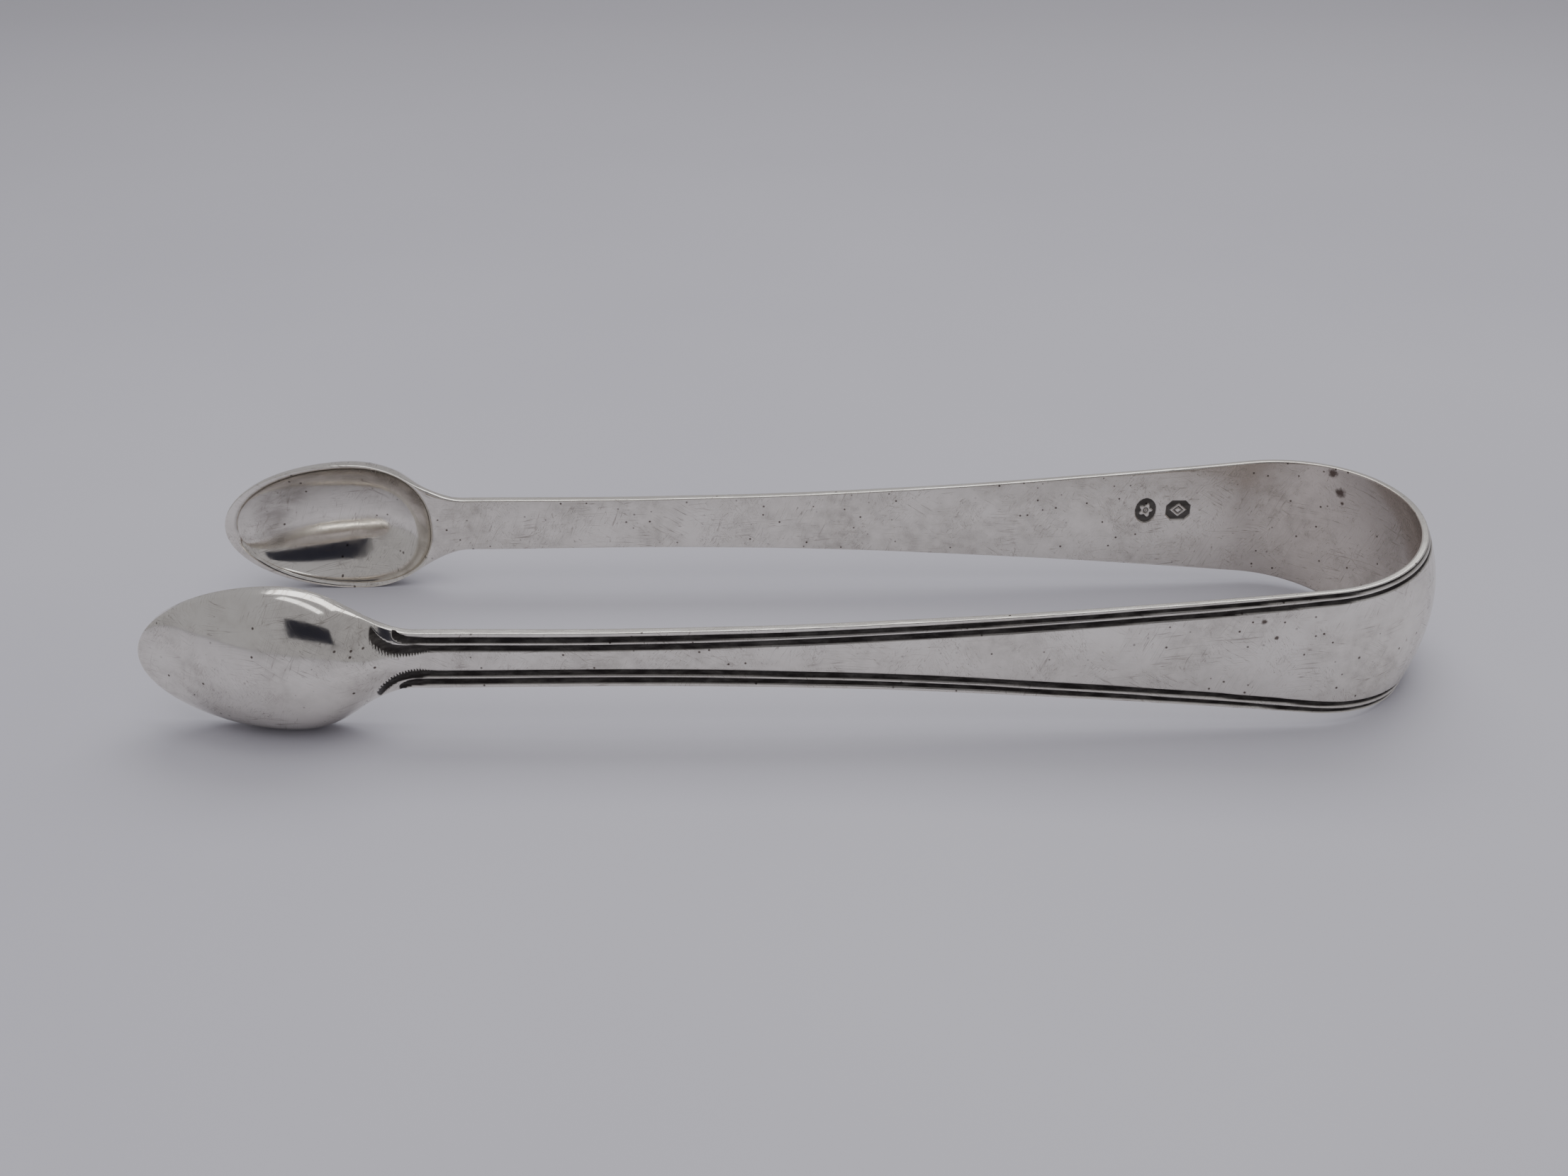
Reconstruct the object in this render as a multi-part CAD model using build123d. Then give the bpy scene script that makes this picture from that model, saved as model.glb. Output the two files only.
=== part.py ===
"""Silver serving tongs for ice or sugar: a sprung U-shaped bow, two tapering arms and two egg-shaped bowls.

The tongs stand on edge, on the lower edge of the bow and on the rims of the two bowls. +X runs from the bowls
to the crown of the bow, Y is the direction in which the arms are squeezed together, and +Z is up, across the
width of the strip. The origin is at the middle of the base.

Everything is drawn about the strip's midline, with distances along X counted from the bowl tip, and then
stood on its base at the end.
"""
from build123d import *
import os
from math import acos, atan2, cos, degrees, radians, sin

os.makedirs("parts", exist_ok=True)

# ---- driving dimensions, millimetres and degrees ----
LENGTH = 144.0            # bowl tip to crown of the bow
SPREAD = 33.4             # across the outer faces of the two parallel arms
NECK_THICKNESS = 1.15     # the strip where it meets a bowl
BOW_THICKNESS = 0.8       # it is thinned towards the bow so that it springs
CROWN_DOME = 2.4          # at the crown, the strip's edges lie this far inside its middle

NECK_X = 31.5             # joint between bowl and arm, from the bowl tip
BOW_X = 123.0             # joint between arm and bow, from the bowl tip
SOLDER_GAP = 0.12         # thickness of each soldered seam

# Half of the strip's width: along the straight arm, from the bowl tip, and round the bow, by angle from its
# start (0) to the crown (90)
ARM_HALF_WIDTHS = [(20.0, 3.7), (NECK_X, 3.4), (52.0, 3.35), (72.0, 3.75), (92.0, 4.75), (110.0, 6.05),
                   (BOW_X, 7.15)]
BOW_HALF_WIDTHS = [(0, 7.55), (18, 8.0), (36, 8.45), (54, 8.85), (72, 9.1), (90, 9.2)]

# Threaded border cut into the outer face, along both edges of the strip
OUTER_BEAD = 0.5
OUTER_GROOVE = 0.45
INNER_BEAD = 0.45
INNER_GROOVE = 0.55
GROOVE_DEPTH = 0.25

# Bowls: an egg-shaped cup, from the tip to its widest section and from there to the neck
BOWL_WIDTH = 17.1
BOWL_FRONT = 16.0
BOWL_BACK = 10.4
BOWL_DEPTH = 6.0
BOWL_WALL = 0.8           # at the bottom of the cup
TIP_LIP = 1.4             # width of the flat rim at the tip
SIDE_LIP = 0.5            # and at the sides
BACK_LIP = 1.0            # and where the cup meets the neck
BOWL_CANT = 1.7           # each bowl leans in from its arm by this angle
SHOULDER_X = 22.5         # where the neck's flare leaves the bowl's outline, from the tip
FLARE_X = 30.0            # where the flare reaches the arm's width
DROP_X = 20.0             # behind the cup, a long drop-shaped swelling runs down the neck from here
DROP_LENGTH = 10.5
DROP_HALF_WIDTH = 4.6
DROP_DEPTH = 4.2

# Punched marks inside the right arm, both plain shapes
OVAL_X = 114.85           # from the bowl tip
OVAL_MARK = (1.35, 1.7)   # half length and half height
CUT_CORNER_X = 118.9      # from the bowl tip
CUT_CORNER_MARK = (3.1, 2.7)          # length and height
MARK_CORNER = 0.7
MARK_DEPTH = 0.12
MARK_RISE = 1.2           # the marks sit this far above the strip's midline

WEAR_FLAT = 0.06          # worn off each place that the tongs stand on

ARM_Y = SPREAD / 2
BOW_START_X = LENGTH - ARM_Y
CROWN_HALF_WIDTH = BOW_HALF_WIDTHS[-1][1]
REACH = 200.0             # size of cutting blocks, larger than the tongs


def closed_face(*lines):
    """A flat face inside lines that meet end to end."""
    return make_face([edge for line in lines for edge in line.edges()])


def thickness_at(x):
    """The strip thins evenly from the neck to the start of the bow."""
    share = min((x - NECK_X) / (BOW_START_X - NECK_X), 1.0)
    return NECK_THICKNESS + (BOW_THICKNESS - NECK_THICKNESS) * share


def stations():
    """Sections of the right-hand half, neck to crown: plane, half width, dome and thickness.

    In each plane, local X points out of the strip's outer face and local Y points up.
    """
    rows = []
    for x, half in ARM_HALF_WIDTHS:
        rows.append((Plane((x, ARM_Y, 0), x_dir=(0, 1, 0), z_dir=(1, 0, 0)), half, 0.0, thickness_at(x)))
    for turn, half in BOW_HALF_WIDTHS:
        angle = radians(90 - turn)
        outward = (cos(angle), sin(angle), 0)
        centre = (BOW_START_X + ARM_Y * cos(angle), ARM_Y * sin(angle), 0)
        along = (sin(angle), -cos(angle), 0)
        dome = CROWN_DOME * cos(angle) ** 2
        rows.append((Plane(centre, x_dir=outward, z_dir=along), half, dome, BOW_THICKNESS))
    return rows


def both_halves(rows):
    """The right-hand sections, and their mirror images from the crown back down the left side."""
    mirrored = []
    for plane, half, dome, thickness in reversed(rows[:-1]):
        origin, out, along = plane.origin, plane.x_dir, plane.z_dir
        flipped = Plane((origin.X, -origin.Y, 0), x_dir=(out.X, -out.Y, 0), z_dir=(-along.X, along.Y, 0))
        mirrored.append((flipped, half, dome, thickness))
    return rows + mirrored


def strip_section(plane, half, dome, thickness):
    """Cross-section of the strip: domed outer and inner faces, edges cut level."""
    if dome > 0.01:
        outer = ThreePointArc((-dome, half), (0, 0), (-dome, -half))
    else:
        outer = Line((0, half), (0, -half))
    inner = outer.moved(Location((-thickness, 0, 0)))
    ends = [Line((-dome, side), (-dome - thickness, side)) for side in (half, -half)]
    return (plane * closed_face(outer, *ends, inner)).face()


def groove_section(plane, half, dome, inset, width, side):
    """Cross-section of one groove, from inside the strip to clear of its outer face."""
    high, low = half - inset, half - inset - width
    out_high, out_low = [-dome * (z / half) ** 2 for z in (high, low)]
    corners = [(out_high - GROOVE_DEPTH, side * high), (out_high + GROOVE_DEPTH, side * high),
               (out_low + GROOVE_DEPTH, side * low), (out_low - GROOVE_DEPTH, side * low)]
    return (plane * closed_face(Polyline(*corners, close=True))).face()


def threaded(strip, rows):
    """The strip with its threaded border cut along both edges."""
    inset = OUTER_BEAD
    for width in (OUTER_GROOVE, INNER_GROOVE):
        for side in (1, -1):
            sections = [groove_section(*row[:3], inset, width, side) for row in rows]
            strip = strip - loft(sections)
        inset += width + INNER_BEAD
    return strip


def strip_through(rows):
    """A stretch of the strip through these sections, with its border."""
    return threaded(loft([strip_section(*row) for row in rows]), rows)


def slab(x_low, x_high):
    """A block that keeps what lies between two distances from the tip."""
    return Pos((x_low + x_high) / 2, 0, 0) * Box(x_high - x_low, REACH, REACH)


def half_egg(front, back, depth, half_height):
    """An egg-shaped cup about the origin: flat side on the XZ plane, bulging to +Y, tip towards -X."""
    rim_front = EllipticalCenterArc((0, 0), front, half_height, start_angle=90)
    rim_back = EllipticalCenterArc((0, 0), back, half_height, start_angle=0)
    profile = closed_face(rim_back, rim_front, Line((-front, 0), (back, 0)))
    round_cup = revolve(Plane.XZ * profile, axis=Axis.X, revolution_arc=-180)
    return scale(round_cup, (1, depth / half_height, 1))


def neck_plate():
    """The flared plate between cup and arm, about the cup's widest section."""
    flare = FLARE_X - BOWL_FRONT
    end = NECK_X - BOWL_FRONT + 1        # past the seam, to be trimmed there
    neck_half = dict(ARM_HALF_WIDTHS)[NECK_X]
    shoulder = SHOULDER_X - BOWL_FRONT
    rim_angle = acos(shoulder / BOWL_BACK)
    on_rim = (shoulder, BOWL_WIDTH / 2 * sin(rim_angle))
    along_rim = (BOWL_BACK * sin(rim_angle), -BOWL_WIDTH / 2 * cos(rim_angle))
    edges = []
    for side in (1, -1):
        edges.append(Spline((on_rim[0], side * on_rim[1]), (flare, side * neck_half),
                            tangents=[(along_rim[0], side * along_rim[1]), (1, 0)]))
    arm_end = Polyline((flare, neck_half), (end, neck_half), (end, -neck_half), (flare, -neck_half))
    cup_end = Line(on_rim, (on_rim[0], -on_rim[1]))
    return extrude(Plane.XZ * closed_face(*edges, arm_end, cup_end), amount=-NECK_THICKNESS)


def right_bowl():
    """Cup and neck, leaning in from the arm, trimmed square at the seam."""
    outer = half_egg(BOWL_FRONT, BOWL_BACK, BOWL_DEPTH, BOWL_WIDTH / 2)
    hollow = half_egg(BOWL_FRONT - TIP_LIP, BOWL_BACK - BACK_LIP, BOWL_DEPTH - BOWL_WALL,
                      BOWL_WIDTH / 2 - SIDE_LIP)
    drop_at = DROP_X - BOWL_FRONT
    drop = Pos(drop_at, 0, 0) * half_egg(drop_at, DROP_LENGTH, DROP_DEPTH, DROP_HALF_WIDTH)
    cup = outer + neck_plate() + drop - hollow
    joint = Pos(NECK_X, ARM_Y - NECK_THICKNESS, 0) * Rot(0, 0, BOWL_CANT)
    return (joint * Pos(BOWL_FRONT - NECK_X, 0, 0) * cup) & slab(-5, NECK_X)


def punched_marks(arm):
    """Two shallow plain punches in the inner face of the right arm."""
    cut_corner = chamfer(Rectangle(*CUT_CORNER_MARK).vertices(), MARK_CORNER)
    for x, outline in ((OVAL_X, Ellipse(*OVAL_MARK)), (CUT_CORNER_X, cut_corner)):
        floor_y = ARM_Y - thickness_at(x) + MARK_DEPTH
        arm = arm - Pos(x, floor_y, MARK_RISE) * extrude(Plane.XZ * outline, amount=1.0)
    return arm


def stood_on_base(shape):
    """Tip the level model until bow and bowls touch the ground, and wear the places that they stand on."""
    drop = CROWN_HALF_WIDTH - BOWL_WIDTH / 2
    tilt = degrees(atan2(drop, LENGTH - BOWL_FRONT))
    placed = Rot(0, -tilt, 0) * Pos(-LENGTH / 2, 0, 0) * shape
    bowl_drop = (LENGTH / 2 - BOWL_FRONT) * sin(radians(tilt))
    lift = BOWL_WIDTH / 2 * cos(radians(tilt)) + bowl_drop - WEAR_FLAT
    return (Pos(0, 0, lift) * placed) & (Pos(0, 0, REACH / 2) * Box(2 * REACH, REACH, REACH))


def mirrored(shape):
    """The left-hand twin of a right-hand piece."""
    return mirror(shape, about=Plane.XZ)


def write(name, shape):
    """Stand one piece in its place and write it as its own file."""
    solid = stood_on_base(shape).solid()
    solid.label = name
    export_step(solid, f"parts/{name}.step")
    print(f"{name:18s} {solid.volume:8.2f} mm3  valid {solid.is_valid}")


def build():
    rows = stations()
    arm_count = len(ARM_HALF_WIDTHS)
    arm = strip_through(rows[:arm_count])
    bow = strip_through(both_halves(rows[arm_count - 1:]))
    bowl = right_bowl()
    pieces = {
        "arm": arm & slab(NECK_X + SOLDER_GAP, BOW_X - SOLDER_GAP),
        "neck_solder": arm & slab(NECK_X, NECK_X + SOLDER_GAP),
        "bow_solder": arm & slab(BOW_X - SOLDER_GAP, BOW_X),
        "bowl": bowl,
    }
    write("bow", bow)
    for name, shape in pieces.items():
        write(f"right_{name}", punched_marks(shape) if name == "arm" else shape)
        write(f"left_{name}", mirrored(shape))


build()
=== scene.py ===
"""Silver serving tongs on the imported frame: one detailed surface per half, cut at the seams and the crown.

Each half is drawn level, in millimetres, as loops of points round the strip. u is the distance along the
strip from the bowl tip, round the bow to its crown, and z the height across the strip from its midline. The
surface is then stood on its base and put in metres.
"""

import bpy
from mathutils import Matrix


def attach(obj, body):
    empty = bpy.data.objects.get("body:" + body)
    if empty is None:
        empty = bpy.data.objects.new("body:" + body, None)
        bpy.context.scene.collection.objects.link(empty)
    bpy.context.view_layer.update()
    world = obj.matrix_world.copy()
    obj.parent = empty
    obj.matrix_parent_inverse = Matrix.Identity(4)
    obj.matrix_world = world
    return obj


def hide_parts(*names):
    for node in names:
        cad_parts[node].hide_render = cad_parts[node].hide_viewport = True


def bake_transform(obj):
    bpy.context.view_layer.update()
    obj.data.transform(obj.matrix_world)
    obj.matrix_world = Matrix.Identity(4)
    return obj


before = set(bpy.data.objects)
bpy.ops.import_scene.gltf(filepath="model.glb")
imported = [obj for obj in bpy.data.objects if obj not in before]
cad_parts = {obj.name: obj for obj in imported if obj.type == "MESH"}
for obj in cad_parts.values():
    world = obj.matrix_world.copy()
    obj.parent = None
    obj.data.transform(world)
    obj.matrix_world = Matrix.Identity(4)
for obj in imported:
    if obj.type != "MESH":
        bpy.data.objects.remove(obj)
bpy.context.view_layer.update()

import math

import bpy
import numpy as np
from mathutils import Matrix, Vector

MM = 0.001

# ---- the strip, millimetres and degrees ----
LENGTH = 144.0
ARM_Y = 16.7                    # outer face of each arm, from the middle
NECK_X, BOW_X, SOLDER_GAP = 31.5, 123.0, 0.12
BOW_START = LENGTH - ARM_Y
CROWN = BOW_START + ARM_Y * math.pi / 2
NECK_THICKNESS, BOW_THICKNESS = 1.15, 0.8
CROWN_DOME = 2.4
HALF_WIDTHS = [(NECK_X, 3.4), (52, 3.35), (72, 3.75), (92, 4.75), (110, 6.05), (BOW_X, 7.15)]
HALF_WIDTHS += [(BOW_START + ARM_Y * math.radians(turn), half)        # round the bow, by angle
                for turn, half in ((0, 7.55), (18, 8.0), (36, 8.45), (54, 8.85), (72, 9.1), (90, 9.2))]
EDGE_ROUND = 0.12
WEAR_FLAT = 0.06                # worn off each place that the tongs stand on
SOLDER_PROUD = 0.005

# ---- bowls ----
BOWL_HALF = 8.55
BOWL_FRONT, BOWL_BACK, BOWL_DEPTH = 16.0, 10.4, 6.0
BELLY_X, BELLY_END = 18.0, 27.5         # the back's deepest section, and where its curve would end
DROP_X = 24.0                   # from here the back drops towards the neck in a curve of its own
RIM = 0.7                       # the outer face starts this far above the rim's plane
SHOULDER_X, FLARE_X = 22.5, 30.0
CUP_FRONT, CUP_BACK, CUP_HALF, CUP_DEPTH = 14.5, 9.4, 8.0, 5.2
CUP_DEEPEST = 17.5
CUP_SQUARE = 2.3                # how square the cup's back is, 2 being an ellipse
CUP_FLANK = 0.72                # how gently the cup's sides drop from the rim, 0.5 being an ellipse
CUP_ROUND, CUP_ROUND_WIDTH = 0.40, 0.5  # the softened rim: how far it falls, and over what width
CANT = math.radians(1.7)

# ---- threaded border ----
# distance along the strip, then the near and far sides of both grooves, measured from the strip's edge
GROOVES = np.array([
    (NECK_X, 0.46, 1.14, 1.46, 2.18),
    (61.0, 0.46, 1.11, 1.42, 2.12),
    (92.0, 0.40, 0.98, 1.28, 1.96),
    (115.0, 0.32, 0.80, 1.18, 1.78),
    (132.0, 0.18, 0.58, 0.90, 1.42),
    (CROWN, 0.18, 0.58, 0.90, 1.42),
])
GROOVE_DEPTH = 0.25
GROOVE_SPREAD = 1.15            # the grooves' worn shoulders, as a share of their cut width
OUTER_RUN, INNER_RUN = (30.6, 28.1), (29.5, 25.9)      # where each groove bends towards the edge, and ends
RUN_SHIFT = 0.62                # share of its distance from the edge that a groove loses by its end
TOOTH_PITCH, TOOTH_LENGTH = 0.29, 0.28  # the graver's cuts along the inner groove's end
BORDER = 2.25                   # the stretch beside each edge with finely spaced points

# ---- punched marks inside the right arm ----
OVAL_X, CUT_X, MARK_RISE, MARK_DEPTH = 114.85, 118.9, 1.2, 0.12
OVAL_HALF, CUT_HALF, CUT_CORNER = (1.35, 1.7), (1.55, 1.35), 2.2
MARKED = (112.4, 120.9)         # stretch with fine sections
MARK_SPAN = 1.9                 # half height of the stretch with fine points

SIDE_STEPS = 30                 # points from an edge to the middle, on the outer face
CUP_STEPS = 40                  # points across the cup
# points on the inner face between the strip's edge and the cup, as shares of the way
LIP = np.array([0, 0.04, 0.1, 0.2, 0.28, 0.38, 0.5, 0.62, 0.75, 0.87, 0.96])


def smooth(x, low, high):
    """0 below low, 1 above high, and an S-curve between them."""
    t = np.clip((x - low) / (high - low), 0, 1)
    return t * t * (3 - 2 * t)


def hermite(x, x0, x1, y0, y1, s0, s1):
    """Cubic from (x0, y0) with slope s0 to (x1, y1) with slope s1."""
    span = x1 - x0
    t = np.clip((x - x0) / span, 0, 1)
    return ((2 * t ** 3 - 3 * t ** 2 + 1) * y0 + (t ** 3 - 2 * t ** 2 + t) * span * s0
            + (3 * t ** 2 - 2 * t ** 3) * y1 + (t ** 3 - t ** 2) * span * s1)


def through(points, x):
    """Smooth curve through points, level at both ends."""
    px, py = np.array(points, float).T
    slope = np.gradient(py, px)
    slope[0] = slope[-1] = 0
    y = np.full_like(x, py[0])
    for k in range(len(px) - 1):
        on = x >= px[k]
        y[on] = hermite(x[on], px[k], px[k + 1], py[k], py[k + 1], slope[k], slope[k + 1])
    return y


def egg(u):
    """The bowl's outline as a share of its greatest half width."""
    reach = np.where(u < BOWL_FRONT, BOWL_FRONT, BOWL_BACK)
    return np.sqrt(np.clip(1 - ((u - BOWL_FRONT) / reach) ** 2, 0, 1))


def egg_slope(u):
    """Slope of that share, behind the bowl's widest section."""
    return -(u - BOWL_FRONT) / BOWL_BACK ** 2 / egg(np.array(u))


def half_width(u):
    """Half width of the bowl, its shoulders, the arm and the bow, all the way along."""
    u = np.asarray(u, float)
    shoulder = BOWL_HALF * egg(np.array(SHOULDER_X))
    flare = hermite(u, SHOULDER_X, FLARE_X, shoulder, HALF_WIDTHS[0][1], BOWL_HALF * egg_slope(SHOULDER_X), 0)
    return np.where(u < SHOULDER_X, BOWL_HALF * egg(u), np.where(u < NECK_X, flare, through(HALF_WIDTHS, u)))


def bowl_back(u):
    """Height of the bowl's outer face at the midline: shallow at the tip, deepest behind the middle."""
    ahead = np.clip(1 - ((BELLY_X - u) / BELLY_X) ** 2, 0, 1) ** 1.25
    behind = np.clip(1 - ((u - BELLY_X) / (BELLY_END - BELLY_X)) ** 2, 0, 1) ** 0.58
    return RIM + (BOWL_DEPTH - RIM) * np.where(u < BELLY_X, ahead, behind)


def ridge(u):
    """Height of the outer face at the strip's midline, with the drop that runs down the neck."""
    small = 0.01
    before, start = bowl_back(np.array([DROP_X - small, DROP_X]))
    drop = hermite(u, DROP_X, NECK_X, start, NECK_THICKNESS, (start - before) / small, 0)
    return np.where(u < DROP_X, bowl_back(u), np.where(u < NECK_X, drop, thickness(u)))


def cup_deep(u):
    """Depth of the cup at the midline, as a share of its greatest depth."""
    first, last = BOWL_FRONT - CUP_FRONT, BOWL_FRONT + CUP_BACK
    ahead = np.clip(1 - ((CUP_DEEPEST - u) / (CUP_DEEPEST - first)) ** 2, 0, 1) ** 1.05
    behind = np.clip(1 - np.abs((u - CUP_DEEPEST) / (last - CUP_DEEPEST)) ** CUP_SQUARE, 0, 1) ** 0.72
    return np.where(u < CUP_DEEPEST, ahead, behind)


def thickness(u):
    """Thickness of the arm and the bow."""
    return np.interp(u, [NECK_X, BOW_START], [NECK_THICKNESS, BOW_THICKNESS])


def cup_half(u):
    """Half width of the cup's mouth, and past its two ends the half width of the points that cross it."""
    front = np.clip(1 - np.abs((u - BOWL_FRONT) / CUP_FRONT) ** 2, 0, 1) ** 0.5
    back = np.clip(1 - np.abs((u - BOWL_FRONT) / CUP_BACK) ** CUP_SQUARE, 0, 1) ** (1 / CUP_SQUARE)
    mouth = CUP_HALF * np.where(u < BOWL_FRONT, front, back)
    beyond = 0.7 * half_width(u) * smooth(u, BOWL_FRONT + CUP_BACK, NECK_X)
    return np.where(u < BOWL_FRONT + CUP_BACK, mouth, beyond)


def edge_distance(u, z):
    """Distance from the strip's or the bowl's edge, across its face."""
    fine = np.linspace(SHOULDER_X, CROWN, 3000)
    slope = np.interp(u, fine, np.gradient(half_width(fine), fine))
    straight = (half_width(u) - np.abs(z)) / np.sqrt(1 + slope ** 2)
    reach = np.where(u < BOWL_FRONT, BOWL_FRONT, BOWL_BACK)
    dx, dz = (u - BOWL_FRONT) / reach, z / BOWL_HALF
    rho = np.sqrt(dx ** 2 + dz ** 2) + 1e-9
    steep = np.sqrt((dx / reach) ** 2 + (dz / BOWL_HALF) ** 2) / rho + 1e-9
    return np.where(u < SHOULDER_X, np.clip(1 - rho, 0, 1) / steep, straight)


def cup_distance(u, z):
    """Distance outside the cup's mouth, in the plane of the rim."""
    front = u < BOWL_FRONT
    reach, power = np.where(front, CUP_FRONT, CUP_BACK), np.where(front, 2.0, CUP_SQUARE)
    dx, dz = np.abs(u - BOWL_FRONT) / reach + 1e-9, np.abs(z) / CUP_HALF + 1e-9
    level = (dx ** power + dz ** power) ** (1 / power)
    slope = np.sqrt((dx ** (power - 1) / reach) ** 2 + (dz ** (power - 1) / CUP_HALF) ** 2)
    steep = level ** (1 - power) * slope
    return (level - 1) / steep


def corner(distance, radius):
    """How far a rounded corner falls back, this far from its edge."""
    near = np.clip(radius - distance, 0, radius)
    return radius - np.sqrt(np.clip(radius ** 2 - near ** 2, 0, None))


def groove_cut(u, distance):
    """Depth of the threaded border, as a share of a groove's full depth."""
    sides = [np.interp(u, GROOVES[:, 0], side) for side in GROOVES.T[1:]]
    teeth = np.clip(0.5 + 1.4 * np.sin(u * 2 * math.pi / TOOTH_PITCH), 0, 1) * (1 - smooth(u, 30, 32))
    cut = np.zeros_like(distance)
    for low, high, (bend, end), tooth in ((*sides[:2], OUTER_RUN, 0), (*sides[2:], INNER_RUN, TOOTH_LENGTH)):
        run = np.clip((bend - u) / (bend - end), 0, 1.5)
        centre = (low + high) / 2 * (1 - RUN_SHIFT * run ** 2.6)
        half = (high - low) / 2 * GROOVE_SPREAD * (1 + 0.3 * (1 - smooth(u, 29, 33)))
        across = (distance - centre) / (half + tooth * teeth * (distance > centre))
        live = smooth(u, end - 0.3, end + 0.35)
        cut = np.maximum(cut, live * np.clip(1 - across ** 2, 0, 1) ** 0.8)
    return cut


def mark_cut(u, z):
    """Depth of the two plain punches, as a share of their full depth."""
    z = z - MARK_RISE
    dx = u - OVAL_X
    oval = smooth(1 - np.sqrt((dx / OVAL_HALF[0]) ** 2 + (z / OVAL_HALF[1]) ** 2), 0, 0.07)
    turn, far = np.arctan2(z, dx), np.sqrt(dx ** 2 + z ** 2 / 1.25)
    petals = 0.78 + 0.17 * np.cos(5 * turn)
    flower = smooth(petals - far, 0, 0.16) * (1 - 0.8 * np.exp(-((far - 0.27) / 0.08) ** 2))
    oval = oval * (1 - 0.85 * flower)
    dx = u - CUT_X
    walls = np.minimum.reduce([CUT_HALF[0] - np.abs(dx), CUT_HALF[1] - np.abs(z),
                               (CUT_CORNER - np.abs(dx) - np.abs(z)) / 1.414])
    block = smooth(walls, 0, 0.1)
    diamond = 0.95 - np.abs(dx) * 0.86 - np.abs(z)
    raised = smooth(diamond, 0, 0.12) * (1 - smooth(diamond, 0.32, 0.44) * (1 - smooth(diamond, 0.52, 0.64)))
    return np.maximum(oval, block * (1 - 0.85 * raised))


def wander(u, z, phase):
    """Slight unevenness of hand-worked metal, gone at the crown so that both halves meet."""
    fade = 1 - smooth(u, CROWN - 9, CROWN - 1)
    slow = 0.030 * np.sin(u / 8.7 + phase) + 0.018 * np.sin(u / 4.1 + 1.9 * phase)
    quick = (0.0035 * np.sin(u / 1.9 + z / 2.3 + phase) + 0.0035 * np.sin(u / 1.35 - z / 1.7 + 2.2 * phase)
             + 0.003 * np.sin(z * 1.6 + u / 3.1 + 3 * phase))
    return fade * slow, fade * quick


def sections(marked):
    """Distances along one half at which it has a section."""
    first = BOWL_FRONT - CUP_FRONT
    last = BOWL_FRONT + CUP_BACK
    shy = np.array([0.42, 0.35, 0.28, 0.22, 0.16, 0.1, 0.05, 0.015])
    tip = BOWL_FRONT * (1 - np.cos(np.linspace(0, math.acos(1 - (first - 0.5) / BOWL_FRONT), 17)))
    front = first + CUP_FRONT * (1 - np.cos(np.linspace(0, math.pi / 2, 35)))
    back = BOWL_FRONT + CUP_BACK * np.sin(np.linspace(0, math.pi / 2, 27))[1:]
    neck = np.linspace(last + 0.47, NECK_X, 104)
    seam = np.array([0.03, 0.06, 0.09, SOLDER_GAP])
    arm_ends = NECK_X + SOLDER_GAP, BOW_X - SOLDER_GAP
    if marked:
        arm = np.r_[np.linspace(arm_ends[0], MARKED[0], 100), np.linspace(*MARKED, 96)[1:],
                    np.linspace(MARKED[1], arm_ends[1], 5)[1:]]
    else:
        arm = np.linspace(*arm_ends, 112)
    bow = np.linspace(BOW_X, CROWN, 70)
    bowl = np.r_[tip, first - shy, front, back, last + shy[::-1], neck]
    return np.r_[bowl, NECK_X + seam[:3], arm, BOW_X - seam[2::-1], bow]


def place(u, z, height):
    """From distance along the strip, height across it and height above its inner face to X, Y and Z."""
    cant = CANT * (1 - smooth(u, 28.5, NECK_X))
    from_seam = u - NECK_X
    bowl_x = NECK_X + from_seam * np.cos(cant) - height * np.sin(cant)
    bowl_y = ARM_Y - NECK_THICKNESS + from_seam * np.sin(cant) + height * np.cos(cant)
    turn = np.clip((u - BOW_START) / ARM_Y, 0, None)
    dome = CROWN_DOME * np.sin(turn) ** 2 * (z / np.maximum(half_width(u), 1e-6)) ** 2
    radius = ARM_Y - thickness(u) + height - dome
    strip_x = np.minimum(u, BOW_START) + radius * np.sin(turn)
    strip_y = radius * np.cos(turn)
    bowl = u < NECK_X
    return np.stack([np.where(bowl, bowl_x, strip_x), np.where(bowl, bowl_y, strip_y), z + 0 * u], -1)


def stood(points):
    """Tip level points until bow and bowls touch the ground, wear the contacts flat, and go to metres."""
    drop = HALF_WIDTHS[-1][1] - BOWL_HALF
    tilt = math.atan2(drop, LENGTH - BOWL_FRONT)
    lift = BOWL_HALF * math.cos(tilt) + (LENGTH / 2 - BOWL_FRONT) * math.sin(tilt) - WEAR_FLAT
    x, y, z = points[..., 0] - LENGTH / 2, points[..., 1], points[..., 2]
    out = np.stack([x * math.cos(tilt) - z * math.sin(tilt), y,
                    np.maximum(x * math.sin(tilt) + z * math.cos(tilt) + lift, 0)], -1)
    return out * MM


def outer_points(u):
    """Where each section's outer face has points, from the lower edge to the upper one."""
    width = half_width(u)
    fine = np.r_[0, 0.015, 0.04, 0.08, np.linspace(EDGE_ROUND, BORDER, 18)]
    count = SIDE_STEPS + 1 - len(fine)
    coarse = BORDER + (width - BORDER) * np.arange(1, count + 1) / count
    on_arm = np.hstack([np.tile(fine, (len(u), 1)), coarse])
    on_bowl = width * (1 - np.cos(np.linspace(0, math.pi / 2, SIDE_STEPS + 1)))
    share = smooth(u, 18, 25.5)
    side = width - (on_bowl * (1 - share) + on_arm * share)
    side[:, -1] = 0
    return np.hstack([-side, side[:, -2::-1]])


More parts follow.
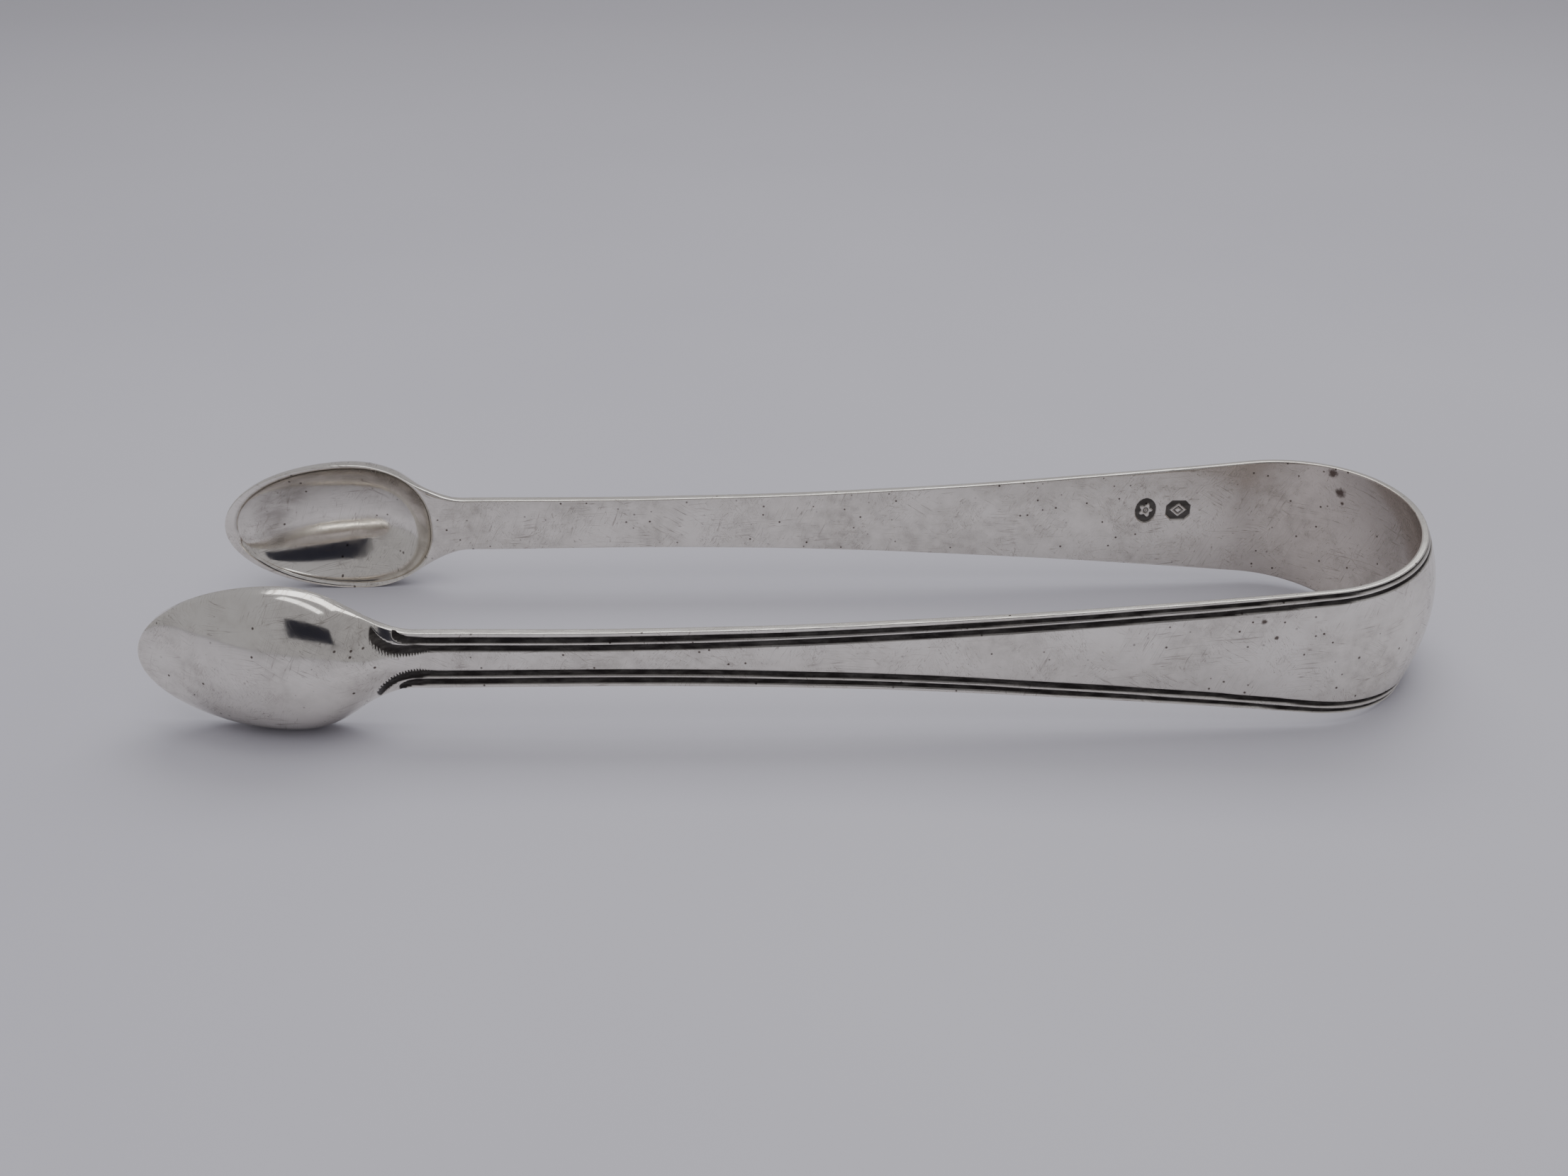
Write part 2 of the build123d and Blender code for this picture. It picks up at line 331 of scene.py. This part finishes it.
def inner_points(u, marked):
    """Where each section's inner face has points, from the upper edge to the lower one."""
    width, mouth = half_width(u), cup_half(u)
    across = mouth * np.cos(np.linspace(0, math.pi, CUP_STEPS + 1))
    evenly = MARK_RISE + MARK_SPAN * np.linspace(1, -1, CUP_STEPS + 1)
    fine_share = smooth(u, 110.5, MARKED[0]) * (1 - smooth(u, MARKED[1], 122.5)) if marked else 0 * u
    across = across * (1 - fine_share) + evenly * fine_share
    lip = width - LIP * (width - np.where(fine_share > 0, across[:, :1], mouth))
    low_lip = width - LIP * (width - np.where(fine_share > 0, -across[:, -1:], mouth))
    return np.hstack([lip, across, -low_lip[:, ::-1]])


def outer_face(u, z, phase):
    """Height of the outer face, how deep it is cut, and how far it is from its edge."""
    distance = edge_distance(u, z)
    edge = np.where(u < NECK_X, RIM + (NECK_THICKNESS - RIM) * smooth(u, 22, NECK_X), thickness(u))
    power = 0.5 + 0.8 * smooth(u, 22, 29)
    swell = np.clip(1 - (z / np.maximum(half_width(u), 1e-6)) ** 2, 0, 1) ** power
    cut = groove_cut(u, distance)
    height = edge + (ridge(u) - edge) * swell
    height -= corner(distance, EDGE_ROUND * smooth(u, 24, 29)) + GROOVE_DEPTH * cut
    slow, quick = wander(u, z, phase)
    return height + slow + quick, cut, distance


def inner_face(u, z, phase, marked):
    """Height of the inner face with its cup, how deep it is punched, and how far it is from its edge."""
    distance, mouth, cup_end = edge_distance(u, z), cup_half(u), BOWL_FRONT + CUP_BACK
    inside = (np.abs(z) <= mouth + 1e-9) & (mouth > 0) & (u < cup_end)
    across = np.clip(1 - (z / np.maximum(mouth, 1e-9)) ** 2, 0, 1) ** CUP_FLANK
    depth = CUP_ROUND + (CUP_DEPTH - CUP_ROUND) * cup_deep(u) * across
    beside = np.clip(1 - np.maximum(cup_distance(u, z), 0) / CUP_ROUND_WIDTH, 0, 1)
    softened = np.where(u < cup_end + CUP_ROUND_WIDTH, CUP_ROUND * beside ** 2, 0)
    height = np.where(inside, depth, corner(distance, EDGE_ROUND) + softened)
    cut = mark_cut(u, z) if marked else np.zeros_like(z)
    slow, quick = wander(u, z, phase)
    return height + MARK_DEPTH * cut + slow + quick, cut, distance


def facts_for_materials(u, inner_z, outer, inner):
    """How oxidised, how rubbed, how far into the cup's tarnish, and how much tarnish staining and painted
    shade darken the inside of the bow at each point.
    """
    (outer_h, outer_cut, outer_d), (inner_h, inner_cut, inner_d) = outer, inner
    edge, outside = np.zeros((len(u), 2)), np.zeros_like(outer_h)
    deep = np.where(u < BOWL_FRONT + CUP_BACK, inner_h / CUP_DEPTH, 0)
    cup = smooth(deep, 0.16, 0.45) * (1 - smooth(deep, 0.62, 0.95))
    cup *= np.clip(smooth(inner_z, -1, 5) + smooth(np.abs(u - 15.5), 6, 10), 0.2, 1)
    # inside the bow: warm tarnish staining, and painted shade for the bow's hollow, deepest towards the crown
    stain_and_shade = 0.75 * smooth(u, 112, 138) + 0 * inner_z
    outer_rub, inner_rub = 1 - smooth(outer_d, 0.05, 0.22), 1 - smooth(inner_d, 0.05, 0.25)
    return {
        "oxide": np.hstack([smooth(outer_cut, 0.05, 0.30), edge, 0.9 * smooth(inner_cut, 0.2, 0.8), edge]),
        "rub": np.hstack([outer_rub, edge + 1, inner_rub, edge + 1]),
        "cup": np.hstack([outside, edge, cup, edge]),
        "stain_and_shade": np.hstack([outside, edge, stain_and_shade, edge]),
    }


def half_surface(marked, phase):
    """Loops of points round one half, with what the materials need to know at each."""
    u = sections(marked)[:, None]
    width = half_width(u)
    outer_z, inner_z = outer_points(u), inner_points(u, marked)
    outer = outer_face(u + 0 * outer_z, outer_z, phase)
    inner = inner_face(u + 0 * inner_z, inner_z, phase, marked)
    outer_h, inner_h = outer[0], inner[0]
    steps = np.array([1, 2]) / 3
    up_h = outer_h[:, -1:] + (inner_h[:, :1] - outer_h[:, -1:]) * steps
    down_h = inner_h[:, -1:] + (outer_h[:, :1] - inner_h[:, -1:]) * steps
    z = np.hstack([outer_z, width + 0 * up_h, inner_z, -width + 0 * down_h])
    height = np.hstack([outer_h, up_h, inner_h, down_h])
    centre = len(LIP) + CUP_STEPS // 2
    middle = (outer_h[:, SIDE_STEPS:SIDE_STEPS + 1] + inner_h[:, centre:centre + 1]) / 2
    for start in (NECK_X, BOW_X - SOLDER_GAP):       # solder stands a hair proud of the seam
        proud = np.sin(np.pi * np.clip((u - start) / SOLDER_GAP, 0, 1)) * SOLDER_PROUD
        z = z * (1 + proud / np.maximum(width, 1e-6))
        height = height + proud * np.sign(height - middle)
    # the third coordinate keeps the patterns on each face and half apart
    face = np.hstack([0 * outer_z + 6, 0 * up_h + 3, 0 * inner_z, 0 * down_h + 3])
    strip = np.stack([u + 0 * z, z, face + phase * 40], -1)
    return u[:, 0], stood(place(u + 0 * z, z, height)), facts_for_materials(u, inner_z, outer, inner), strip


def quads(rows, columns):
    """Faces between loops, wound outwards on the right half."""
    a = np.arange(rows - 1)[:, None] * columns + np.arange(columns)
    b = np.arange(rows - 1)[:, None] * columns + (np.arange(columns) + 1) % columns
    return np.stack([a, b, b + columns, a + columns], -1).reshape(-1, 4)


def vertex_normals(points, faces):
    """Area-weighted normals."""
    diagonals = np.cross(points[faces[:, 2]] - points[faces[:, 0]], points[faces[:, 3]] - points[faces[:, 1]])
    normals = np.zeros_like(points)
    for corner_index in range(4):
        np.add.at(normals, faces[:, corner_index], diagonals)
    return normals / np.maximum(np.linalg.norm(normals, axis=1), 1e-20)[:, None]


def make_piece(name, points, faces, normals, facts, strip, caps):
    """One closed mesh from some of a half's loops, with coincident points merged."""
    used = np.unique(faces)
    renumber = np.full(len(points), -1)
    renumber[used] = np.arange(len(used))
    key = np.round(points[used] * 1e8).astype(np.int64)
    _, first, group = np.unique(key, axis=0, return_index=True, return_inverse=True)
    group = group.reshape(-1)
    renumber[used] = group
    keep = used[first]
    polygons = []
    for face in renumber[faces].tolist() + [renumber[cap].tolist() for cap in caps]:
        ring = [v for k, v in enumerate(face) if v != face[k - 1]]
        if len(set(ring)) == len(ring) >= 3:
            polygons.append(ring)
    mesh = bpy.data.meshes.new(name)
    mesh.from_pydata(points[keep].tolist(), [], polygons)
    for key_name, values in facts.items():
        attribute = mesh.attributes.new(key_name, "FLOAT", "POINT")
        attribute.data.foreach_set("value", values[keep].astype(np.float32))
    attribute = mesh.attributes.new("strip", "FLOAT_VECTOR", "POINT")
    attribute.data.foreach_set("vector", strip[keep].astype(np.float32).reshape(-1))
    mesh.shade_smooth()
    mesh.update()
    mesh.normals_split_custom_set_from_vertices(normals[keep].tolist())
    piece = bpy.data.objects.new(name, mesh)
    bpy.context.scene.collection.objects.link(piece)
    return piece


def make_half(side, phase):
    """The bowl, arm, both solder seams and half of the bow, on one side."""
    sign = 1 if side == "right" else -1
    u, points, facts, strip = half_surface(side == "right", phase)
    points = points * (1, sign, 1)
    rows, columns = len(u), points.shape[1]
    points = points.reshape(-1, 3)
    faces = quads(rows, columns)
    if sign < 0:
        faces = faces[:, ::-1]
    # normals come from the surface with coincident points merged: the tip and the cup's ends are then smooth
    _, group = np.unique(np.round(points * 1e8).astype(np.int64), axis=0, return_inverse=True)
    group = group.reshape(-1)
    joined = np.zeros((group.max() + 1, 3))
    joined[group] = points
    normals = vertex_normals(joined, group[faces])[group]
    crown = slice((rows - 1) * columns, rows * columns)
    normals[crown, 1] = 0
    normals[crown] /= np.linalg.norm(normals[crown], axis=1)[:, None]
    flat = {name: values.reshape(-1) for name, values in facts.items()}
    strip = strip.reshape(-1, 3)
    cuts = {
        "bowl": (0, NECK_X),
        "neck_solder": (NECK_X, NECK_X + SOLDER_GAP),
        "arm": (NECK_X + SOLDER_GAP, BOW_X - SOLDER_GAP),
        "bow_solder": (BOW_X - SOLDER_GAP, BOW_X),
        "half_bow": (BOW_X, CROWN),
    }
    made = {}
    for name, (low, high) in cuts.items():
        first, last = [int(np.argmin(np.abs(u - end))) for end in (low, high)]
        part_faces = faces[first * columns:last * columns]
        caps = []
        ring = np.arange(columns)
        if name != "bowl":
            caps.append((first * columns + ring)[::sign])
        caps.append((last * columns + ring)[::-sign])
        made[name] = make_piece(f"{side}_{name}_look", points, part_faces, normals, flat, strip, caps)
    return made


# ---- materials ----
# pits: place as in the strip attribute (distance along, across, face and half), then radius in millimetres
PITS = [((137.6, 7.7, 16), 0.80), ((138.9, 5.3, 16), 0.85), ((139.3, 3.9, 16), 0.30),
        ((120.4, 4.1, 74), 0.42), ((122.0, 2.1, 74), 0.30), ((131.5, -0.8, 74), 0.22)]


def node(tree, kind, inputs=(), **settings):
    """A node; each input is a value or another node's socket, and the rest are its own settings."""
    made = tree.nodes.new(kind)
    for key, value in settings.items():
        setattr(made, key, value)
    for key, value in dict(inputs).items():
        if isinstance(value, bpy.types.NodeSocket):
            tree.links.new(value, made.inputs[key])
        else:
            made.inputs[key].default_value = value
    return made


def ramp(tree, source, stops):
    """A colour ramp; each stop is a position and a grey level or colour."""
    made = node(tree, "ShaderNodeValToRGB", {"Fac": source})
    band = made.color_ramp
    while len(band.elements) < len(stops):
        band.elements.new(0.5)
    for element, (position, colour) in zip(band.elements, stops):
        element.position = position
        element.color = (*colour, 1) if isinstance(colour, tuple) else (colour, colour, colour, 1)
    return made.outputs["Color"]


def maths(tree, operation, a, b, clamp=False):
    """One sum on two values or sockets."""
    return node(tree, "ShaderNodeMath", {0: a, 1: b}, operation=operation, use_clamp=clamp).outputs[0]


def mix(tree, share, a, b):
    """Colour a where share is 0, and b where it is 1."""
    made = node(tree, "ShaderNodeMix", {"Factor": share}, data_type="RGBA")
    for index, value in ((6, a), (7, b)):
        if isinstance(value, bpy.types.NodeSocket):
            tree.links.new(value, made.inputs[index])
        else:
            made.inputs[index].default_value = (*value, 1)
    return made.outputs[2]


def fact(tree, name, output="Fac"):
    """What the mesh says about each of its points, under this name."""
    return node(tree, "ShaderNodeAttribute", attribute_name=name).outputs[output]


def noise(tree, where, scale, detail=3.0, roughness=0.5, stretch=None, turn=0.0, distortion=0.0):
    """Noise on the strip's own coordinates, in millimetres; stretch makes it longer along the strip."""
    if stretch:
        where = node(tree, "ShaderNodeMapping", {"Vector": where, "Rotation": (0, 0, turn), "Scale": stretch},
                     vector_type="TEXTURE").outputs[0]
    return node(tree, "ShaderNodeTexNoise", {"Vector": where, "Scale": scale, "Detail": detail,
                                             "Roughness": roughness, "Distortion": distortion}).outputs["Fac"]


def scratches(tree, where, scale, length, turn, thin, seed):
    """Long thin lines, at one slant to the strip, broken up along their length."""
    moved = node(tree, "ShaderNodeVectorMath", {0: where, 1: (seed * 13.7, seed * 5.1, seed * 9.3)},
                 operation="ADD").outputs[0]
    lines = noise(tree, moved, scale, 1.5, 0.5, (length, 0.5, 1), turn, 0.15)
    line = ramp(tree, lines, [(0.5 - thin, 0.0), (0.5, 1.0), (0.5 + thin, 0.0)])
    broken = ramp(tree, noise(tree, moved, 0.22, 2.0), [(0.5, 0.0), (0.62, 1.0)])
    return maths(tree, "MULTIPLY", line, broken)


def spot(tree, where, at, radius):
    """A ragged spot at one place on the strip."""
    near = node(tree, "ShaderNodeVectorMath", {0: where, 1: at}, operation="DISTANCE").outputs["Value"]
    ragged = maths(tree, "ADD", near, maths(tree, "MULTIPLY", noise(tree, where, 2.6, 3.0), radius))
    return ramp(tree, maths(tree, "DIVIDE", ragged, 1.5 * radius), [(0.62, 1.0), (1.0, 0.0)])


def tarnish_on(tree, where, clouds, mottle, amount):
    """Cloudy tarnish on the flats and smears inside the bowls, none where a hand or cloth rubs."""
    smears = noise(tree, where, 0.24, 4.0, 0.62, (1.8, 0.8, 1), 0.3, 0.5)
    in_cup = maths(tree, "MULTIPLY", fact(tree, "cup"), ramp(tree, smears, [(0.34, 0.12), (0.60, 1.0)]))
    haze = maths(tree, "MULTIPLY", ramp(tree, clouds, [(0.36, 0.0), (0.70, 1.0)]),
                 ramp(tree, mottle, [(0.35, 0.0), (0.75, 1.0)]))
    tarnish = maths(tree, "MAXIMUM", maths(tree, "MULTIPLY", haze, 0.55 * amount),
                    maths(tree, "MULTIPLY", in_cup, 0.80), clamp=True)
    return maths(tree, "MULTIPLY", tarnish, maths(tree, "SUBTRACT", 1.0, fact(tree, "rub"), clamp=True))


def hairlines(tree, where):
    """Polishing scratches in four directions, and two sets of short knocks."""
    hair = scratches(tree, where, 0.9, 14.0, 0.10, 0.012, 1)
    for scale, length, turn, thin, seed in ((1.1, 9.0, -0.55, 0.010, 2), (0.8, 7.0, 1.2, 0.010, 3),
                                            (1.6, 16.0, -0.06, 0.012, 4), (2.3, 3.5, 0.9, 0.022, 5),
                                            (2.6, 3.0, -1.1, 0.020, 6)):
        hair = maths(tree, "MAXIMUM", hair, scratches(tree, where, scale, length, turn, thin, seed))
    return hair


def specks(tree, where, clouds):
    """Small dark specks where it is cloudy, and the larger pits."""
    cells = node(tree, "ShaderNodeTexVoronoi", {"Vector": where, "Scale": 0.72, "Randomness": 1.0})
    speck = maths(tree, "MULTIPLY", ramp(tree, cells.outputs["Distance"], [(0.07, 1.0), (0.125, 0.0)]),
                  ramp(tree, clouds, [(0.42, 0.0), (0.50, 1.0)]))
    for at, radius in PITS:
        speck = maths(tree, "MAXIMUM", speck, spot(tree, where, at, radius))
    return speck


def silver(name, clean, worn, tarnished=1.0):
    """Old polished silver: hairline scratches, faint tarnish, soot-dark oxide where no cloth reaches."""
    material = bpy.data.materials.new(name)
    material.use_nodes = True
    tree = material.node_tree
    tree.nodes.clear()
    where = fact(tree, "strip", "Vector")
    clouds = noise(tree, where, 0.11, 4.0, 0.55)
    mottle = noise(tree, where, 0.7, 5.0, 0.6)
    grain = noise(tree, where, 6.0, 3.0, 0.6)
    tarnish = tarnish_on(tree, where, clouds, mottle, tarnished)
    hair = hairlines(tree, where)
    speck = specks(tree, where, clouds)
    patchy = ramp(tree, noise(tree, where, 1.3, 4.0, 0.6, (3.0, 1.0, 1)), [(0.22, 0.88), (0.6, 1.0)])
    dark = maths(tree, "MULTIPLY", fact(tree, "oxide"), patchy, clamp=True)

    colour = mix(tree, ramp(tree, clouds, [(0.3, 0.0), (0.7, 1.0)]), clean, worn)
    # painted shade with warm tarnish staining: darkens the inner faces from the arms' ends round the bow
    colour = mix(tree, fact(tree, "stain_and_shade"), colour, (0.60, 0.535, 0.475))
    colour = mix(tree, tarnish, colour, (0.30, 0.275, 0.245))
    colour = mix(tree, maths(tree, "MULTIPLY", hair, 0.6), colour, (0.24, 0.20, 0.17))
    colour = mix(tree, maths(tree, "MULTIPLY", speck, 0.88), colour, (0.07, 0.045, 0.035))
    soot = mix(tree, grain, (0.006, 0.005, 0.005), (0.030, 0.022, 0.019))
    colour = mix(tree, dark, colour, soot)

    # the bowls are the best polished; the arms and the bow are duller
    along = node(tree, "ShaderNodeSeparateXYZ", {"Vector": where}).outputs["X"]
    dull = ramp(tree, maths(tree, "DIVIDE", along, 40.0), [(0.60, 0.045), (0.80, 0.16)])
    rough = maths(tree, "ADD", maths(tree, "MULTIPLY", mottle, 0.11), dull)
    for cause, effect in ((tarnish, 0.20), (hair, 0.12), (dark, 0.42)):
        rough = maths(tree, "ADD", rough, maths(tree, "MULTIPLY", cause, effect), clamp=cause is dark)
    metal = maths(tree, "SUBTRACT", 1.0, maths(tree, "MULTIPLY", dark, 0.6), clamp=True)

    relief = maths(tree, "SUBTRACT", maths(tree, "MULTIPLY", noise(tree, where, 0.35, 2.0), 0.55),
                   maths(tree, "MULTIPLY", hair, 0.012))
    relief = maths(tree, "ADD", relief, maths(tree, "MULTIPLY", grain, 0.006))
    relief = maths(tree, "SUBTRACT", relief, maths(tree, "MULTIPLY", speck, 0.05))
    bump = node(tree, "ShaderNodeBump", {"Height": relief, "Strength": 0.35, "Distance": 0.0001}).outputs[0]
    shader = node(tree, "ShaderNodeBsdfPrincipled",
                  {"Base Color": colour, "Metallic": metal, "Roughness": rough, "Normal": bump})
    output = node(tree, "ShaderNodeOutputMaterial")
    tree.links.new(shader.outputs[0], output.inputs[0])
    return material


def paper():
    """Pale lilac-grey card, with faint fibres and dust, and painted shade that darkens it a little towards
    the back, where the lamps' light falls off.
    """
    material = bpy.data.materials.new("pale_card")
    material.use_nodes = True
    tree = material.node_tree
    tree.nodes.clear()
    where = node(tree, "ShaderNodeTexCoord").outputs["Object"]
    clouds = node(tree, "ShaderNodeTexNoise", {"Vector": where, "Scale": 9.0, "Detail": 3.0}).outputs["Fac"]
    fibres = node(tree, "ShaderNodeTexNoise", {"Vector": where, "Scale": 420.0, "Detail": 3.0}).outputs["Fac"]
    dust = node(tree, "ShaderNodeTexVoronoi", {"Vector": where, "Scale": 28.0}).outputs["Distance"]
    cloudy = ramp(tree, clouds, [(0.35, 0.0), (0.7, 1.0)])
    colour = mix(tree, cloudy, (0.50, 0.492, 0.545), (0.535, 0.527, 0.577))
    colour = mix(tree, ramp(tree, dust, [(0.004, 0.35), (0.009, 0.0)]), colour, (0.3, 0.28, 0.3))
    # painted shade: the card's colour darkens towards the back, standing in for the lamps' light falling off
    far = node(tree, "ShaderNodeSeparateXYZ", {"Vector": where}).outputs["Y"]
    colour = mix(tree, ramp(tree, far, [(0.02, 0.0), (0.45, 1.0)]), colour, (0.395, 0.385, 0.42))
    bump = node(tree, "ShaderNodeBump", {"Height": fibres, "Strength": 0.15, "Distance": 0.0002}).outputs[0]
    shader = node(tree, "ShaderNodeBsdfPrincipled", {"Base Color": colour, "Roughness": 0.55, "Normal": bump})
    output = node(tree, "ShaderNodeOutputMaterial")
    tree.links.new(shader.outputs[0], output.inputs[0])
    return material


# ---- the object ----
silver_look = silver("worn_silver", (0.92, 0.885, 0.825), (0.82, 0.78, 0.71))
solder_look = silver("silver_solder", (0.91, 0.87, 0.81), (0.81, 0.765, 0.695), 1.1)
for side, sign, phase in (("right", 1, 0.4), ("left", -1, 1.7)):
    pieces = make_half(side, phase)
    for name, piece in pieces.items():
        soldered = name.endswith("solder")
        piece.data.materials.append(solder_look if soldered else silver_look)
        if name == "half_bow":
            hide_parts("bow")
            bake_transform(piece)
        else:
            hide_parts(f"{side}_{name}")
            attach(piece, f"{side}_arm")

# ---- floor, light and camera ----
FLOOR_HALF, FLOOR_LINES = 2.5, 41       # metres from the middle to its edge, and grid lines each way


def surface(name, points, faces, look):
    """A plain mesh for the surroundings."""
    mesh = bpy.data.meshes.new(name)
    mesh.from_pydata(points, [], faces)
    mesh.materials.append(look)
    made = bpy.data.objects.new(name, mesh)
    bpy.context.scene.collection.objects.link(made)
    return made


def softbox(name, place_at, size, watts, colour):
    """A rectangular lamp, aimed at the middle of the scene."""
    lamp = bpy.data.lights.new(name, "AREA")
    lamp.shape, lamp.size, lamp.size_y = "RECTANGLE", *size
    lamp.energy, lamp.color = watts, colour
    holder = bpy.data.objects.new(name, lamp)
    holder.location = place_at
    holder.rotation_euler = (-Vector(place_at)).to_track_quat("-Z", "Y").to_euler()
    bpy.context.scene.collection.objects.link(holder)
    return holder


lines = np.linspace(-FLOOR_HALF, FLOOR_HALF, FLOOR_LINES)
floor_points = [(x, y, 0.0) for y in lines for x in lines]
corners = [row * FLOOR_LINES + column for row in range(FLOOR_LINES - 1) for column in range(FLOOR_LINES - 1)]
floor_faces = [(k, k + 1, k + FLOOR_LINES + 1, k + FLOOR_LINES) for k in corners]
floor = surface("floor", floor_points, floor_faces, paper())

world = bpy.data.worlds.new("soft_daylight")
bpy.context.scene.world = world
world.use_nodes = True
sky = world.node_tree.nodes["Background"].inputs
sky["Color"].default_value = (0.80, 0.795, 0.84, 1)
sky["Strength"].default_value = 0.47

overhead = softbox("overhead", (0.08, -0.05, 0.75), (1.0, 0.7), 3.1, (1.0, 0.985, 0.975))
overhead.visible_glossy = False
softbox("skylight", (0.03, 0.06, 0.80), (0.6, 0.16), 0.5, (0.96, 0.98, 1.0))
softbox("window", (0.06, 0.50, 0.66), (0.85, 0.36), 2.0, (0.97, 0.98, 1.0))

# the dark card that the bowls mirror; nothing else sees it, and it is placed with the camera below
card_look = bpy.data.materials.new("dark_card")
card_look.use_nodes = True
card_shader = card_look.node_tree.nodes["Principled BSDF"]
card_shader.inputs["Base Color"].default_value = (0.012, 0.013, 0.03, 1)
card_shader.inputs["Roughness"].default_value = 0.6
card_corners = [(-0.09, -0.03, 0), (0.09, -0.03, 0), (0.09, 0.07, 0), (-0.09, 0.07, 0)]
card = surface("card", card_corners, [(0, 1, 2, 3)], card_look)
card.visible_camera = card.visible_shadow = card.visible_diffuse = False

camera_data = bpy.data.cameras.new("camera")
camera_data.sensor_width = 36.0
camera_data.lens = 35.8047
camera_data.clip_start, camera_data.clip_end = 0.005, 20
camera = bpy.data.objects.new("camera", camera_data)
bpy.context.scene.collection.objects.link(camera)
bpy.context.scene.camera = camera
camera_place = (-0.00253, -0.15878, 0.09668)
look_down, yaw, roll = math.radians(29.15), math.radians(0.06), math.radians(-0.18)
ahead = math.cos(look_down)
forward = Vector((math.sin(yaw) * ahead, math.cos(yaw) * ahead, -math.sin(look_down)))
level = Vector((math.cos(yaw), -math.sin(yaw), 0))
rise = level.cross(forward)
right_way = math.cos(roll) * level + math.sin(roll) * rise
up_way = math.cos(roll) * rise - math.sin(roll) * level
turned = Matrix((right_way, up_way, -forward)).transposed().to_4x4()
camera.matrix_world = Matrix.Translation(camera_place) @ turned
card.matrix_world = camera.matrix_world @ Matrix.Translation((0.0, 0.0, 0.012))
